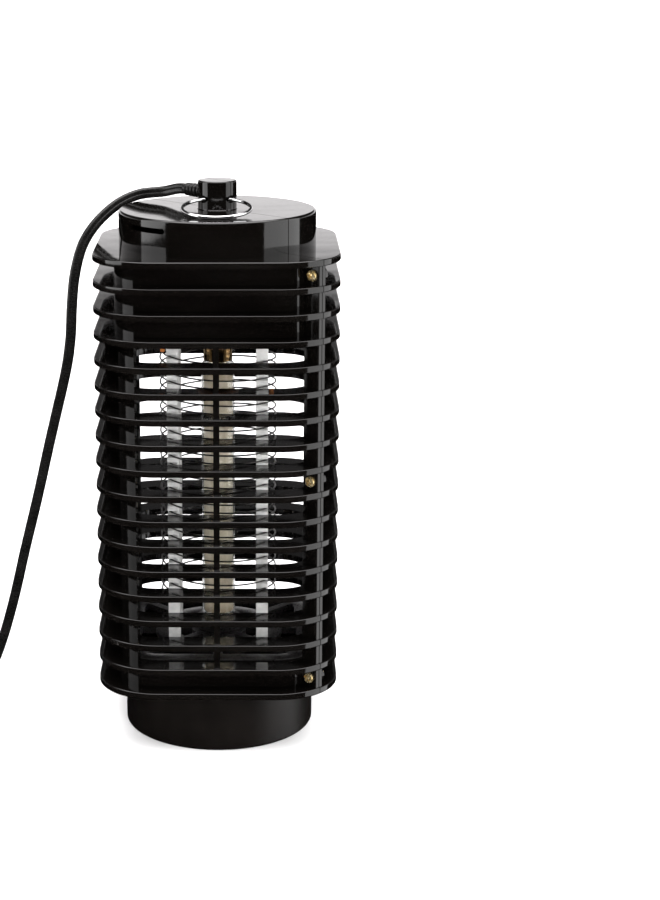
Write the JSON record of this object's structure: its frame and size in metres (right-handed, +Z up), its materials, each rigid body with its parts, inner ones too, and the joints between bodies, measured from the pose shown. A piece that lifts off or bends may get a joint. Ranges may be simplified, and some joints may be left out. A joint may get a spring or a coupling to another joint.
{
  "type": "electric bug zapper",
  "caption": "Free-standing louvred electric insect killer with a wire grid round a lamp, a pull-off tray, a hanging ring and a mains cord.",
  "frame": {"origin": "centre of the underside of the insect tray, which stands on the surface", "axes": "+Z up, -Y towards the front, +X to the right seen from the front"},
  "size_m": [0.2589, 0.125, 0.258],
  "materials": {
    "shell": "polished black moulding",
    "zinc_screw": "yellow zinc plate",
    "chrome_wire": "polished",
    "tray": "satin black moulding",
    "inner_black": "satin black moulding",
    "post": "milky translucent",
    "grid_wire": "drawn spring wire",
    "lamp_glass": "phosphor coated inside",
    "lamp_metal": "satin",
    "holder_brown": "moulded phenolic",
    "board": "phenolic laminate",
    "steel_screw": "zinc plate",
    "capacitor_red": "dipped",
    "capacitor_yellow": "taped film",
    "diode": "moulded",
    "resistor": "lacquered",
    "lead_black": "soft",
    "lead_orange": "silicone",
    "lead_white": "soft",
    "cord": "soft satin black",
    "tie": "soft",
    "plug": "moulded satin black",
    "pin_metal": "nickel plate"
  },
  "bodies": {
    "housing": {"front_shell": "shell", "rear_shell": "shell", "front_louvres": "shell", "rear_louvres": "shell", "front_ribs": "shell", "rear_ribs": "shell", "seam_screws": "zinc_screw", "grid_base": "inner_black", "grid_top": "inner_black", "grid_post_front_left": "post", "grid_post_front_right": "post", "grid_post_back_left": "post", "grid_post_back_right": "post", "grid_wire_live": "grid_wire", "grid_wire_return": "grid_wire", "lamp_tube": "lamp_glass", "lamp_cap_lower": "lamp_metal", "lamp_cap_upper": "lamp_metal", "lamp_holder_lower": "inner_black", "lamp_holder_upper": "holder_brown", "circuit_board": "board", "board_screws": "steel_screw", "film_capacitors": "capacitor_red", "ballast_capacitor": "capacitor_yellow", "diodes": "diode", "resistors": "resistor", "mains_lead": "lead_black", "high_voltage_leads": "lead_orange", "lamp_leads": "lead_white", "lamp_return_lead": "lead_white", "strain_relief": "cord", "power_cord": "cord", "cord_coil": "cord", "cord_tail": "cord", "cord_tie": "tie", "plug_body": "plug", "plug_pins": "pin_metal", "pin_sleeves": "plug"},
    "tray": {"insect_tray": "tray"},
    "ring": {"hanging_ring": "chrome_wire"}
  },
  "joints": [
    {"name": "tray_slide", "type": "slide", "parent": "housing", "child": "tray", "axis": [0, 0, -1], "range_m": [0, 0.045]},
    {"name": "ring_hinge", "type": "hinge", "parent": "housing", "child": "ring", "pos_m": [0, -0.006, 0.25], "axis": [-1, 0, 0], "range_deg": [0, 105]}
  ]
}
